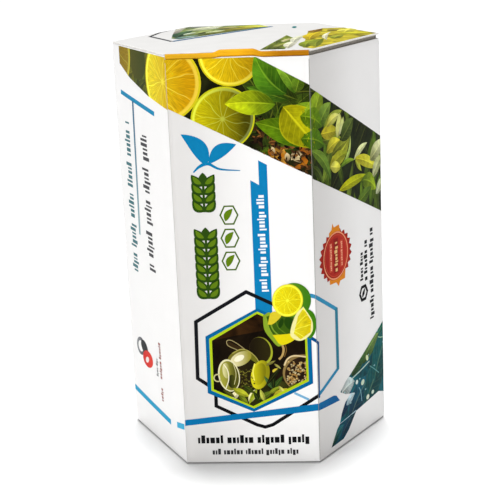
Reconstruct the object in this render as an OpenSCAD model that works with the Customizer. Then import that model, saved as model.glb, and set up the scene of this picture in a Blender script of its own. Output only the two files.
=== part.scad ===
// Closed six-sided tea carton, folded from one sheet of white boxboard.
// Frame: +Z up, origin at the middle of the base, front wall towards -Y.

/* [Carton] */
// Width of each of the six walls, from crease to crease
wall_w = 50; // [35:1:80]
// Height of the closed carton, from the base to the flat of the lid
carton_h = 152; // [90:1:240]
// Outer radius of the upright creases between the walls
crease_r = 0.8; // [0.4:0.1:3]
// Bevel where the walls fold under to the base
base_bevel = 0.6; // [0.2:0.1:1.5]

/* [Board] */
// Thickness of the boxboard
board_t = 0.5; // [0.3:0.05:1]

/* [Lid] */
// Shadow gap between the lid and the top edges of the walls
lid_gap = 1.4; // [0.8:0.1:3]
// How far the tucked-in flaps stand behind the outer face of the walls
flap_setback = 0.9; // [0.6:0.1:3]

/* [Tuck fold] */
// Width of the raised middle stretch of the fold at the lid's front edge
tab_w = 10.6; // [6:0.2:20]
// Width of each tapering end beside the raised stretch
tab_shoulder = 3.4; // [1:0.2:6]
// Height of the raised stretch above the flat of the lid
tab_rise = 1; // [0.2:0.1:2]
// Height of the tongue of the front wall under the raised stretch
tongue_rise = 0.5; // [0.1:0.1:1]

/* [Base and seam] */
// Width of the slit between the base panel and the walls around it
slit_w = 0.4; // [0.2:0.1:1]
// Depth of the slit and of the glued seam's step
slit_depth = 0.35; // [0.1:0.05:1]
// Distance of the glued seam's edge from the rounding of the crease beside it
seam_inset = 0.6; // [0.4:0.1:6]

/* [Hidden] */

round_fn = 48;
arc_steps = 7; // odd, so that no point of an outline lies where two walls divide
walls = 6;
turn = 360 / walls;
overlap = 0.05;
beyond = 2 * wall_w;

// Distance from the middle to the outer face of a wall
apothem = wall_w / 2 / tan(turn / 2);

// Each wall is known by how many turns it lies from the front one, anticlockwise from above
hinge_wall = 3;
seam_wall = 4;
pressed_wall = 5;

lid_under = carton_h - board_t;
wall_top = lid_under - lid_gap;

fold_h = carton_h - wall_top;
fold_r = fold_h / 2 + overlap;
fold_y = -apothem + fold_r + overlap;
fold_z = carton_h - fold_h / 2;
fold_w = wall_w - 2 * crease_r;

tab_r = (fold_h + tab_rise - tongue_rise) / 2;
tab_y = -apothem + tab_r + overlap;
tab_z = carton_h + tab_rise - tab_r;
tab_tip_r = 0.25;

seam_x = wall_w / 2 - crease_r * tan(turn / 2) - seam_inset;

// Six-sided outline with arcs at its corners; a larger inset makes it smaller on every side
module hexagon(inset = 0) {
    corner = (apothem - inset - crease_r) / cos(turn / 2);
    polygon([for (i = [0 : walls - 1])
                for (s = [0 : arc_steps])
                    let (a = (i - 0.5 + s / arc_steps) * turn)
                        corner * [cos(i * turn), sin(i * turn)] + crease_r * [cos(a), sin(a)]]);
}

// Wedge of the plan that holds one wall
module sector(wall) {
    rotate(wall * turn)
        polygon([[0, 0], [-beyond * sin(turn / 2), -beyond * cos(turn / 2)],
                 [beyond * sin(turn / 2), -beyond * cos(turn / 2)]]);
}

// Shadow gap under the lid, left out where the lid is pressed down and where it is hinged
module shadow_gap() {
    translate([0, 0, wall_top])
        linear_extrude(lid_gap)
            difference() {
                circle(r = beyond);
                hexagon(flap_setback + board_t);
                sector(pressed_wall);
                sector(hinge_wall);
            }
}

// Room along the front edge of the lid, where its fold goes
module fold_room() {
    translate([-beyond, -beyond, wall_top])
        cube([2 * beyond, beyond + fold_y, beyond]);
}

// Walls, base and lid as one closed block, because the shut carton hides its inside
module closed_board() {
    color("whitesmoke")
        difference() {
            linear_extrude(carton_h) hexagon();
            shadow_gap();
            fold_room();
            base_bevels();
            base_slit();
            glued_seam();
        }
}

// Bevels that stand for the rounded creases around the base
module base_bevels() {
    for (i = [0 : walls - 1])
        rotate(i * turn)
            translate([0, -apothem, 0])
                rotate([45, 0, 0])
                    cube([beyond, sqrt(2) * base_bevel, sqrt(2) * base_bevel], center = true);
}

// Slit that shows where the base panel is tucked between the walls
module base_slit() {
    translate([0, 0, -overlap])
        linear_extrude(slit_depth + overlap)
            difference() {
                hexagon(base_bevel + board_t);
                hexagon(base_bevel + board_t + slit_w);
            }
}

// Step at the edge of the glued seam, behind the left upright crease
module glued_seam() {
    rotate(seam_wall * turn)
        translate([seam_x - slit_w, -apothem - overlap, -overlap])
            cube([slit_w, slit_depth + overlap, wall_top + 2 * overlap]);
}

// Tucked-in flaps, seen as a set-back band in the shadow gap
module tucked_flaps() {
    color("gainsboro")
        translate([0, 0, wall_top - overlap])
            linear_extrude(lid_gap + 2 * overlap) hexagon(flap_setback);
}

// Orange fold along the lid's front edge, with a thicker, raised roll in its middle
module tuck_fold() {
    color("orange") {
        translate([0, fold_y, fold_z])
            rotate([0, 90, 0])
                cylinder(h = fold_w, r = fold_r, center = true, $fn = round_fn);
        for (side = [0, 1])
            mirror([side, 0, 0])
                translate([0, tab_y, tab_z])
                    rotate([0, 90, 0]) {
                        cylinder(h = tab_w / 2, r = tab_r, $fn = round_fn);
                        translate([0, 0, tab_w / 2])
                            cylinder(h = tab_shoulder, r1 = tab_r, r2 = tab_tip_r, $fn = round_fn);
                    }
    }
}

// Low tongue on the front wall's top edge, under the raised stretch of the fold
module front_tongue() {
    half = tab_w / 2;
    color("whitesmoke")
        translate([0, -apothem + board_t, 0])
            rotate([90, 0, 0])
                linear_extrude(board_t)
                    polygon([[-half - tab_shoulder, wall_top - overlap],
                             [half + tab_shoulder, wall_top - overlap],
                             [half, wall_top + tongue_rise],
                             [-half, wall_top + tongue_rise]]);
}

module carton() {
    closed_board();
    tucked_flaps();
    tuck_fold();
    front_tongue();
}

carton();
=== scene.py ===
import math

import bmesh
import bpy
import numpy as np
from mathutils import Matrix, Vector


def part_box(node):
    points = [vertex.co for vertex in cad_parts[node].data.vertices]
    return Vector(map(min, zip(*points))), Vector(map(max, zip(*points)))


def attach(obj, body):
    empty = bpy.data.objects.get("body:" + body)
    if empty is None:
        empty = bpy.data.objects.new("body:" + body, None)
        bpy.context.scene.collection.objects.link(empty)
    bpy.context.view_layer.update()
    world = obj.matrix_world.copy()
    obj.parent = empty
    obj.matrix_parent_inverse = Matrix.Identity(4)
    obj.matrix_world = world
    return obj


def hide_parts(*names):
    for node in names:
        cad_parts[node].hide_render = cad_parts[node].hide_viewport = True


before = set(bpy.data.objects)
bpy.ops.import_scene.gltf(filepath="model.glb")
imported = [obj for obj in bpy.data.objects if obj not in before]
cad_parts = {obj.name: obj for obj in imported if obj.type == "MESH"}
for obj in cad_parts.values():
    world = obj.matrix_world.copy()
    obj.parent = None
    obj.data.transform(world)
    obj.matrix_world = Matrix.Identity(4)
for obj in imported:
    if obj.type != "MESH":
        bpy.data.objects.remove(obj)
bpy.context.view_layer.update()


# ---------------------------------------------------------------------------------------------
# Walls: one sheet of white clay-coated boxboard, scored and folded round six sides, with its
# glued seam behind the left crease. The outside is varnished; the cut top edge shows raw fibre.
# ---------------------------------------------------------------------------------------------
low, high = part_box("carton")
WALL = (high.y - low.y) * 1000 / math.sqrt(3)     # mm, from crease to crease
ROLL_RISE = 1.0                                   # the tuck fold's raised middle above the lid
LID_TOP = high.z * 1000 - ROLL_RISE
BOARD = 0.5                                       # thickness of the boxboard
LID_GAP = 1.4                                     # shadow gap between lid and walls
WALL_TOP = LID_TOP - BOARD - LID_GAP
CREASE_R = 0.8                                    # outer radius of an upright crease
BASE_R = 0.9                                      # outer radius of the crease round the base
BULGE = 0.25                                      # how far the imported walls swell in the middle
SCORE = 0.11                                      # depth of the dents that the scoring rule leaves
INSET = 0.45                                      # keeps swelling and ink inside the CAD planes
ROLL_HALF = 5.3                                   # half length of the raised middle
ROLL_END = 3.4                                    # length of each sloping end of it
TILT = math.radians(30)                           # half the turn at one crease
HALF_ARC = CREASE_R * math.tan(TILT)              # of the sheet, on each side of a crease


def fold(u, v, h=0.0):
    """Folds the flat blank round the carton. u runs along the six walls in mm, 0 at the front
    wall's left crease, v runs up and h stands off the sheet. Near a crease the sheet follows an
    arc of CREASE_R; a scored dent lies beside it, and each wall swells a little in its middle."""
    u, v, h = np.broadcast_arrays(np.asarray(u, float), np.asarray(v, float), np.asarray(h, float))
    crease = np.round(u / WALL)
    past = u - crease * WALL
    bent = np.clip(past, -HALF_ARC, HALF_ARC)
    across = np.abs(past) / (WALL / 2)
    along = np.clip(2 * v / WALL_TOP - 1, -1, 1)
    stand = (h - INSET + BULGE * (1 - (1 - across) ** 2) * (1 - along ** 4)
             - SCORE * np.exp(-((np.abs(past) - 1.5) / 0.6) ** 2))
    inside = np.minimum(CREASE_R + stand, 0)
    arc = np.maximum(CREASE_R + stand, 0)
    angle = bent / HALF_ARC * TILT
    rest = (past - bent) * (1 + inside * math.tan(TILT) / (WALL / 2 - HALF_ARC))
    radial = WALL + (inside - CREASE_R) / math.cos(TILT) + arc * np.cos(angle) - rest * np.sin(angle)
    tangent = arc * np.sin(angle) + rest * np.cos(angle)
    turn = (crease - 2) * 2 * TILT
    return np.stack([radial * np.cos(turn) - tangent * np.sin(turn),
                     radial * np.sin(turn) + tangent * np.cos(turn), v], axis=-1)


def grid_faces(rows, columns, closed=False):
    """Quads of a grid whose points are stored row by row; closed joins the last column to the first."""
    across = columns if closed else columns - 1
    r, c = np.meshgrid(np.arange(rows - 1), np.arange(across), indexing="ij")
    a, b = r * columns + c, r * columns + (c + 1) % columns
    return np.stack([a, b, b + columns, a + columns], axis=-1).reshape(-1, 4)


def place_piece(name, mesh, finish):
    """Makes a smooth piece of the carton from a mesh."""
    mesh.shade_smooth()
    mesh.materials.append(finish)
    piece = bpy.data.objects.new(name, mesh)
    bpy.context.scene.collection.objects.link(piece)
    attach(piece, "root")
    return piece


def add_piece(name, points, faces, finish, uv=None):
    """Makes a piece from points in mm; uv holds one pair per point for the finish."""
    mesh = bpy.data.meshes.new(name)
    mesh.from_pydata((np.asarray(points).reshape(-1, 3) / 1000).tolist(), [], [list(f) for f in faces])
    if uv is not None:
        corner = np.zeros(len(mesh.loops), int)
        mesh.loops.foreach_get("vertex_index", corner)
        layer = mesh.uv_layers.new(name="print")
        layer.data.foreach_set("uv", np.asarray(uv, np.float32).reshape(-1, 2)[corner].ravel())
    return place_piece(name, mesh, finish)


def linear(code):
    """sRGB hex colour as linear RGBA."""
    s = np.array([int(code[i:i + 2], 16) for i in (1, 3, 5)]) / 255
    return tuple(np.where(s <= 0.04045, s / 12.92, ((s + 0.055) / 1.055) ** 2.4)) + (1.0,)


def add(tree, kind, inputs=None, **options):
    """Adds a shader node. Each of its inputs takes a value or another node's output, and options
    are the node's own properties."""
    new = tree.nodes.new("ShaderNode" + kind)
    for key, value in options.items():
        setattr(new, key, value)
    for key, value in (inputs or {}).items():
        if isinstance(value, bpy.types.NodeSocket):
            tree.links.new(value, new.inputs[key])
        else:
            new.inputs[key].default_value = value
    return new


def varnished_board(name, roughness=0.34, gloss=0.02):
    """Starts a material with the carton's varnished surface: a dispersion varnish over clay coating
    gives a soft sheen, a fibre relief about 0.7 mm across, and a long shallow ripple."""
    material = bpy.data.materials.new(name)
    material.use_nodes = True
    tree = material.node_tree
    shader = tree.nodes["Principled BSDF"]
    shader.inputs["IOR"].default_value = 1.5
    shader.inputs["Specular IOR Level"].default_value = gloss
    place = add(tree, "TexCoord")
    fibre = add(tree, "TexNoise", {"Scale": 1000 / 0.7, "Detail": 3.0, "Vector": place.outputs["Object"]})
    ripple = add(tree, "TexNoise", {"Scale": 1000 / 14, "Detail": 1.0, "Vector": place.outputs["Object"]})
    sheen = add(tree, "MapRange",
                {"To Min": roughness - 0.05, "To Max": roughness + 0.08, "Value": fibre.outputs["Fac"]})
    tree.links.new(sheen.outputs["Result"], shader.inputs["Roughness"])
    wave = add(tree, "Bump", {"Strength": 0.12, "Distance": 0.0002, "Height": ripple.outputs["Fac"]})
    grain = add(tree, "Bump", {"Strength": 0.12, "Distance": 0.00004, "Height": fibre.outputs["Fac"],
                               "Normal": wave.outputs["Normal"]})
    tree.links.new(grain.outputs["Normal"], shader.inputs["Normal"])
    return material, tree, shader, place


# Clay-coated folding boxboard: clean white, with a barely seen cloudiness from the coating.
board_white, tree, shader, place = varnished_board("clay_coated_boxboard", roughness=0.45)
cloud = add(tree, "TexNoise", {"Scale": 1000 / 9, "Detail": 4.0, "Vector": place.outputs["Object"]})
tone = add(tree, "ValToRGB", {"Fac": cloud.outputs["Fac"]})
tone.color_ramp.elements[0].position, tone.color_ramp.elements[0].color = 0.3, linear("#dcdbd9")
tone.color_ramp.elements[1].position, tone.color_ramp.elements[1].color = 0.7, linear("#e0dfdd")
tree.links.new(tone.outputs["Color"], shader.inputs["Base Color"])

# The front wall and those to its right carry painted shade: pale grey beside the wall's left
# crease, clearing to white across it. Along the crease round the base the colour falls almost to
# black, painted shade where the carton meets the floor. The print coordinate x counts the walls
# and y is the height in the same unit.
wall_painted_shade, tree, shader, place = varnished_board("clay_coated_boxboard_with_painted_shade", gloss=0.2)
wrap = add(tree, "UVMap", uv_map="print")
axis = add(tree, "SeparateXYZ", {"Vector": wrap.outputs["UV"]})
share = add(tree, "Math", {0: axis.outputs["X"]}, operation="FRACT")
plain = add(tree, "Math", {1: 0.0, 0: axis.outputs["X"]}, operation="LESS_THAN")
share = add(tree, "Math", {0: share.outputs[0], 1: plain.outputs[0]}, operation="MAXIMUM")
# Painted shade: grey beside each of these walls' left crease, clearing to white across the wall.
painted_shade_ramp = add(tree, "ValToRGB", {"Fac": share.outputs[0]})
painted_shade_ramp.color_ramp.interpolation = "EASE"
painted_shade_ramp.color_ramp.elements[0].position, painted_shade_ramp.color_ramp.elements[0].color = 0.0, linear("#cfcdcb")
painted_shade_ramp.color_ramp.elements[1].position, painted_shade_ramp.color_ramp.elements[1].color = 0.75, linear("#e9e8e7")
cloud = add(tree, "TexNoise", {"Scale": 1000 / 9, "Detail": 4.0, "Vector": place.outputs["Object"]})
cloudy = add(tree, "MapRange", {"To Min": 0.97, "To Max": 1.02, "Value": cloud.outputs["Fac"]})
# Painted shade: the colour falls to near black in the lowest 0.85 mm of the walls, where they meet the
# floor.
painted_contact_shade = add(tree, "MapRange", {"From Min": 0.25 / WALL, "From Max": 0.85 / WALL, "To Min": 0.08,
                                "To Max": 1.0, "Value": axis.outputs["Y"]})
amount = add(tree, "Math", {0: cloudy.outputs["Result"], 1: painted_contact_shade.outputs["Result"]}, operation="MULTIPLY")
toned = add(tree, "VectorMath", {0: painted_shade_ramp.outputs["Color"], "Scale": amount.outputs[0]}, operation="SCALE")
tree.links.new(toned.outputs[0], shader.inputs["Base Color"])

# Uncoated board: matt pulp with specks of fibre, pale where it is cut. Its inside is grey, and made
# darker still as painted shade, for the dust flaps that show in the shadow gap under the lid.
raw_board = []
for name, dark, pale in (("cut_board_pulp", "#cfccc6", "#e6e3de"),
                         ("uncoated_board_inside", "#77736b", "#98938a")):
    finish, tree, shader, place = varnished_board(name, roughness=0.75)
    speck = add(tree, "TexNoise", {"Scale": 1000 / 0.4, "Detail": 5.0, "Vector": place.outputs["Object"]})
    tone = add(tree, "ValToRGB", {"Fac": speck.outputs["Fac"]})
    tone.color_ramp.elements[0].position, tone.color_ramp.elements[0].color = 0.35, linear(dark)
    tone.color_ramp.elements[1].position, tone.color_ramp.elements[1].color = 0.65, linear(pale)
    tree.links.new(tone.outputs["Color"], shader.inputs["Base Color"])
    raw_board.append(finish)
board_raw, board_inside = raw_board

# Places along one wall where the sheet changes direction: the crease's arc, the dents, the swell.
ARC_CUTS = np.linspace(-HALF_ARC, HALF_ARC, 7)
wall_lines = np.concatenate([ARC_CUTS[3:], [0.75, 1.1, 1.5, 1.9, 2.4, 3.2], np.linspace(5, WALL - 5, 12)])
wall_lines = np.unique(np.round(np.concatenate([wall_lines, WALL - wall_lines]), 4))[:-1]
SEAM = -WALL - HALF_ARC - 0.6                     # place of the glued seam's edge
SEAM_W = 0.4                                      # width of the step beside it
SEAM_DEPTH = 0.3
seam_lines = SEAM - np.array([SEAM_W + 0.04, SEAM_W, 0.04, 0.0])
round_lines = np.concatenate([wall * WALL + wall_lines for wall in range(-3, 3)])
round_lines = np.unique(np.round(np.concatenate([round_lines, seam_lines]), 4))


def top_edge(u):
    """Height of the walls' top edge: up to the lid where it is pressed shut or hinged, lower by
    the shadow gap elsewhere, with the front wall's low tongue under the raised fold."""
    past = (u + 3 * WALL) % (6 * WALL) - 3 * WALL
    closed = np.zeros_like(past)
    for first, last in ((-WALL, 0), (-3 * WALL, -2 * WALL)):
        inside = np.minimum(past - first, last - past) / 1.2 + 0.5
        closed = np.maximum(closed, np.clip(inside, 0, 1))
    tongue = np.clip((ROLL_HALF + ROLL_END - np.abs(past - WALL / 2)) / ROLL_END, 0, 1)
    return WALL_TOP + closed * (LID_GAP - 0.05) + 0.5 * tongue ** 2 * (3 - 2 * tongue)


base_turn = np.linspace(0, math.pi / 2, 6)
profile = ([(0.0, 0.0, -2.4), (0.0, 0.0, -1.4)]
           + [(0.0, BASE_R * (1 - math.cos(a)), BASE_R * (math.sin(a) - 1)) for a in base_turn]
           + [(f, BASE_R * (1 - f) - 0.12 * f, 0.0) for f in np.linspace(0, 1, 40)[1:]]
           + [(1.0, -0.03, -0.03), (1.0, 0.0, -0.1), (1.0, 0.0, 0.1 - BOARD), (1.0, -0.1, -BOARD),
              (1.0, -5.0, -BOARD)])
share, up, out = (np.array(column)[:, None] for column in zip(*profile))
groove = np.where((round_lines < SEAM - 0.01) & (round_lines > SEAM - SEAM_W - 0.03), -SEAM_DEPTH, 0.0)
v = share * top_edge(round_lines) + up
points = fold(round_lines, v, out + groove)
faces = grid_faces(len(profile), len(round_lines), closed=True)
uv = np.stack(np.broadcast_arrays(round_lines / WALL, v / WALL), axis=-1)
walls = add_piece("board_walls", points, faces, wall_painted_shade, uv=uv)
walls.data.materials.append(board_raw)
rim_row = len(profile) - 4
walls.data.polygons.foreach_set("material_index",
                                (np.arange(len(faces)) // len(round_lines) >= rim_row).astype(int))
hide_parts("carton")


# ---------------------------------------------------------------------------------------------
# Lid: a six-sided panel of the same sheet, creased to the back wall and pressed down on the left
# one. Its edges are cut, so a thin line of raw board shows under the coated top.
# ---------------------------------------------------------------------------------------------
FOLD_R = (LID_TOP - WALL_TOP) / 2                 # outer radius of the tuck fold along the front
FRONT = -WALL * math.cos(TILT) + INSET            # y of the front wall near its edges
CLEAR = 0.05                                      # keeps the fold inside the front wall's plane
FOLD_Y = FRONT + CLEAR + FOLD_R


def lid_swell(ring, x):
    """Height of the lid's low swell in mm; ring is 0 in the lid's middle and 1 at its rim."""
    return 0.22 * np.clip(1 - ring ** 2, 0, 1) * (0.8 + 0.2 * np.sin(x / 19))


def lid_rows(u):
    """Rows of the lid from under its rim, round the edge and in to the middle. Over the hinge
    the edge is a crease of the board's radius; elsewhere it is a cut edge with a small break."""
    back = (u <= -2 * WALL).astype(float)
    rows = []
    for cut, crease in (((-4.0, -BOARD), (-4.0, -BOARD)), ((-0.1, -BOARD), (-0.3, -BOARD)),
                        ((0.0, -BOARD + 0.06), (0.0, -BOARD - 0.3)), ((0.0, -0.12), (0.0, -0.7)),
                        ((-0.03, -0.03), (-0.12, -0.3)), ((-0.12, 0.0), (-0.4, -0.08)),
                        ((-1.0, 0.0), (-1.0, 0.0))):
        h = cut[0] * (1 - back) + crease[0] * back
        z = cut[1] * (1 - back) + crease[1] * back
        row = fold(u, 0, h)
        row[:, 2] = LID_TOP + z
        rows.append(row)
    for share in (0.93, 0.8, 0.62, 0.42, 0.2, 0.0):
        row = rows[6] * share
        row[:, 2] = LID_TOP + lid_swell(share, row[:, 0])
        rows.append(row)
    return np.stack(rows)


points = lid_rows(round_lines)
points[..., 1] = np.maximum(points[..., 1], FOLD_Y)
faces = grid_faces(len(points), len(round_lines), closed=True)
lid = add_piece("board_lid", points, faces, board_white)
lid.data.materials.append(board_raw)
lid.data.polygons.foreach_set("material_index", (np.arange(len(faces)) // len(round_lines) < 3).astype(int))


# ---------------------------------------------------------------------------------------------
# Dust flaps: the ends of the side walls, folded in under the lid. They show as a band of
# uncoated board in the shadow gap.
# ---------------------------------------------------------------------------------------------
FLAP_BACK = 0.9                                   # how far they stand behind the walls' face
levels = np.array([WALL_TOP - 3, WALL_TOP - 0.3, WALL_TOP + 0.5, LID_TOP - BOARD + 0.02])[:, None]
points = fold(round_lines, 0 * levels, -FLAP_BACK)
points[..., 2] = levels
# Their dark grey is partly the board's inside and partly painted shade of the gap.
add_piece("dust_flaps", points, grid_faces(len(levels), len(round_lines), closed=True), board_inside)


# ---------------------------------------------------------------------------------------------
# Base panel: tucked between the walls, a board's thickness above the floor, with the slit of
# its edges round it.
# ---------------------------------------------------------------------------------------------
rows = [fold(round_lines, 0, h) for h in (-1.35, -1.5, -1.6, -3.0)]
for row, z in zip(rows, (0.6, 0.25, 0.15, 0.12)):
    row[:, 2] = z
for share in (0.8, 0.5, 0.2, 0.0):
    row = rows[3] * share
    row[:, 2] = 0.12
    rows.append(row)
points = np.stack(rows[::-1])
add_piece("board_base", points, grid_faces(len(points), len(round_lines), closed=True), board_white)


# ---------------------------------------------------------------------------------------------
# Tuck fold: the board bends over the front edge in a tight roll, printed orange, and runs down
# behind the front wall. Its middle has sprung up into a thicker, raised roll.
# ---------------------------------------------------------------------------------------------
CURL = 1.35                                       # radians, that the raised roll turns behind its top
DIP = 2.65                                        # radians, from the top to where the board runs down
FLAP_DEPTH = 3.0                                  # how far it then runs down behind the front wall


def tuck_fold(x, turn):
    """Outer surface of the roll: a circle carried along x; its radius grows and its centre rises
    from the tight stretch to the raised middle. turn is 0 on top and a quarter at the front."""
    lift = np.clip((ROLL_HALF + ROLL_END - np.abs(x)) / ROLL_END, 0, 1)
    lift = lift ** 2 * (3 - 2 * lift)
    radius = FOLD_R + 0.25 * lift
    y = FRONT + CLEAR + radius - radius * np.sin(turn)
    z = LID_TOP + (ROLL_RISE - 0.02) * lift - radius + radius * np.cos(turn)
    return y, z, lift


x = np.concatenate([np.linspace(-WALL / 2 + 0.4, -ROLL_HALF - ROLL_END, 16),
                    np.linspace(-ROLL_HALF - ROLL_END, 0, 22)[1:]])
x = np.concatenate([x, -x[-2::-1]])[:, None]
step = np.linspace(0, 1, 22)[None, :]
lift = tuck_fold(x, 0.0)[2]
turn = -lift * CURL * (1 - step) + step * DIP
y, z, _ = tuck_fold(x, turn)
down = np.linspace(0, 1, 4)[None, 1:]
y = np.concatenate([y, y[:, -1:] + (FRONT + 0.6 - y[:, -1:]) * down], axis=1)
z = np.concatenate([z, z[:, -1:] - FLAP_DEPTH * down], axis=1)
points = np.stack([np.broadcast_to(x, y.shape), y, z], axis=-1)
turn = np.concatenate([turn, np.full((len(x), 3), DIP)], axis=1)
uv = np.stack([np.broadcast_to(x / WALL + 0.5, y.shape), turn / 4 + 0.5], axis=-1)

# Orange ink over the coated board. Its colour is made paler at the left end, brightest in the
# middle and darkest at the right end; it starts just behind the fold's crest.
orange_fold, tree, shader, place = varnished_board("orange_printed_fold", roughness=0.3)
wrap = add(tree, "UVMap", uv_map="print")
split = add(tree, "SeparateXYZ", {"Vector": wrap.outputs["UV"]})
side = add(tree, "ValToRGB", {"Fac": split.outputs["X"]})
side.color_ramp.elements[0].position, side.color_ramp.elements[0].color = 0.2, linear("#cf9c1e")
side.color_ramp.elements[1].position, side.color_ramp.elements[1].color = 0.8, linear("#a86c0c")
side.color_ramp.elements.new(0.5).color = linear("#e8a91c")
crest = add(tree, "MapRange", {"From Min": 0.42, "From Max": 0.47, "Value": split.outputs["Y"]})
ink = add(tree, "Mix", {6: linear("#f3e9d8"), 0: crest.outputs["Result"], 7: side.outputs["Color"]},
          data_type="RGBA")
tree.links.new(ink.outputs[2], shader.inputs["Base Color"])
add_piece("tuck_fold", points, grid_faces(len(x), y.shape[1]), orange_fold, uv=uv)


# ---------------------------------------------------------------------------------------------
# Picture band: a slanting strip of citrus slices and tea leaves, offset-printed over the coating.
# Every ink field is a thin flat shape laid out on the blank in mm, trimmed to the picture's
# edges, cut where the sheet is creased, and folded with the board.
# ---------------------------------------------------------------------------------------------
LATTICE = 4.0                                     # mm, between the rows that a printed field is cut into
FIELD = 0.03                                      # mm, of a printed field over the coating


def shape(u, v, layer, ink, s=0.5, t=0.5, closed=False):
    """Printed shape from a grid of places on the blank. layer is its height over the coating, ink
    a hex colour or one colour per point, and s, t are its own pattern coordinates."""
    u, v, s, t = np.broadcast_arrays(u, v, s, t)
    ink = np.broadcast_to(linear(ink) if isinstance(ink, str) else ink, u.shape + (4,))
    place = np.stack([u, v, np.full(u.shape, layer)], axis=-1)
    return (place.reshape(-1, 3), grid_faces(*u.shape, closed=closed).tolist(),
            np.stack([s, t], axis=-1).reshape(-1, 2), ink.reshape(-1, 4))


def patch(corners, layer, ink):
    """Flat field with straight edges; its pattern coordinates are its place on the blank / 100 mm."""
    corners = np.array(corners, float)
    place = np.column_stack([corners, np.full(len(corners), layer)])
    return place, [list(range(len(corners)))], corners / 100, np.tile(linear(ink), (len(corners), 1))


def mixed(first, second, share):
    """One ink colour per point, from first where share is 0 to second where it is 1."""
    share = np.clip(share, 0, 1)[..., None]
    return np.array(linear(first)) * (1 - share) + np.array(linear(second)) * share


def disc(centre, radii, layer, ink, second=None, lean=0.0, inner=0.0):
    """Ellipse or ring: share of the radius times an angle, leaning by lean degrees. s, t span its
    own square, so a pattern can find the middle at 0.5, 0.5. second colours its right side."""
    share = np.linspace(inner, 1, 8 if inner < 0.7 else 3)[:, None]
    angle = np.radians(np.linspace(0, 360, 56, endpoint=False))[None, :]
    x, y = share * np.cos(angle), share * np.sin(angle)
    lean = math.radians(lean)
    u = centre[0] + x * radii[0] * math.cos(lean) - y * radii[1] * math.sin(lean)
    v = centre[1] + x * radii[0] * math.sin(lean) + y * radii[1] * math.cos(lean)
    if second:
        ink = mixed(ink, second, (u - centre[0]) / radii[0] * 0.7 + 0.5)
    return shape(u, v, layer, ink, x / 2 + 0.5, y / 2 + 0.5, closed=True)


def leaf(base, tip, width, layer, ink, second=None, bend=0.0, belly=0.45, rows=16, columns=7):
    """Leaf from base to tip: a bowed midrib, with a half width that follows a sine whose widest
    place is at belly. s runs along the midrib and t across; second colours it towards the tip."""
    s, t = np.linspace(0, 1, rows)[:, None], np.linspace(-1, 1, columns)[None, :]
    base, tip = np.array(base, float), np.array(tip, float)
    along = tip - base
    side = np.array([-along[1], along[0]]) / np.hypot(*along)
    half = width / 2 * np.sin(math.pi * s ** (math.log(0.5) / math.log(belly))) ** 0.85
    reach = bend * np.hypot(*along) * 4 * s * (1 - s) + half * t
    if second:
        ink = mixed(ink, second, s + 0 * t)
    return shape(base[0] + along[0] * s + side[0] * reach, base[1] + along[1] * s + side[1] * reach,
                 layer, ink, s, t / 2 + 0.5)


def overlapping(rows, layer, step, bend=0.0):
    """Leaves from rows of base, tip, width, one or two inks and maybe a bow of the midrib. Each
    lies a step above the last, so that they cover one another in order."""
    leaves = []
    for i, (base, tip, width, ink, *rest) in enumerate(rows):
        second, bow = rest + [None, bend][len(rest):]
        leaves.append(leaf(base, tip, width, layer + step * i, ink, second, bow))
    return leaves


def uneven(i, step=0.618034):
    """Share from 0 to 1 for the number i: what is left of i golden-ratio steps after whole ones."""
    return i * step % 1


def curve(points):
    """Smooth path through a few points: a Catmull-Rom curve with six steps between neighbours."""
    p = np.array(points, float)
    p = np.vstack([2 * p[0] - p[1], p, 2 * p[-1] - p[-2]])
    f = np.linspace(0, 1, 6, endpoint=False)[None, :, None]
    a, b, c, d = (p[i:len(p) - 3 + i, None, :] for i in range(4))
    path = 0.5 * (2 * b + (c - a) * f + (2 * a - 5 * b + 4 * c - d) * f ** 2
                  + (3 * b - a - 3 * c + d) * f ** 3)
    return np.vstack([path.reshape(-1, 2), p[-2]])


def stroke(path, width, layer, ink, second=None, closed=False):
    """Line of even or varying width along a path, mitred at its corners and divided every LATTICE."""
    path = np.array(path, float)
    width = np.broadcast_to(np.asarray(width, float), len(path))
    if closed:
        path, width = np.vstack([path, path[:1]]), np.append(width, width[0])
    run = np.diff(path, axis=0)
    normal = np.column_stack([-run[:, 1], run[:, 0]]) / np.hypot(run[:, 0], run[:, 1])[:, None]
    before, after = np.vstack([normal[:1], normal]), np.vstack([normal, normal[-1:]])
    if closed:
        before[0], after[-1] = normal[-1], normal[0]
    mitre = (before + after) / (1 + np.sum(before * after, axis=1))[:, None]
    steps = [np.linspace(i, i + 1, max(1, math.ceil(np.hypot(*r) / LATTICE)), endpoint=False)
             for i, r in enumerate(run)]
    at = np.append(np.concatenate(steps), len(run))[:, None]
    side = np.array([-0.5, 0.5])[None, :]
    u, v = (np.interp(at, np.arange(len(path)), path[:, k]) + side * np.interp(
        at, np.arange(len(path)), mitre[:, k] * width) for k in (0, 1))
    if second:
        ink = mixed(ink, second, at / len(run) + 0 * side)
    return shape(u, v, layer, ink, at / len(run), side + 0.5)


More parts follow.
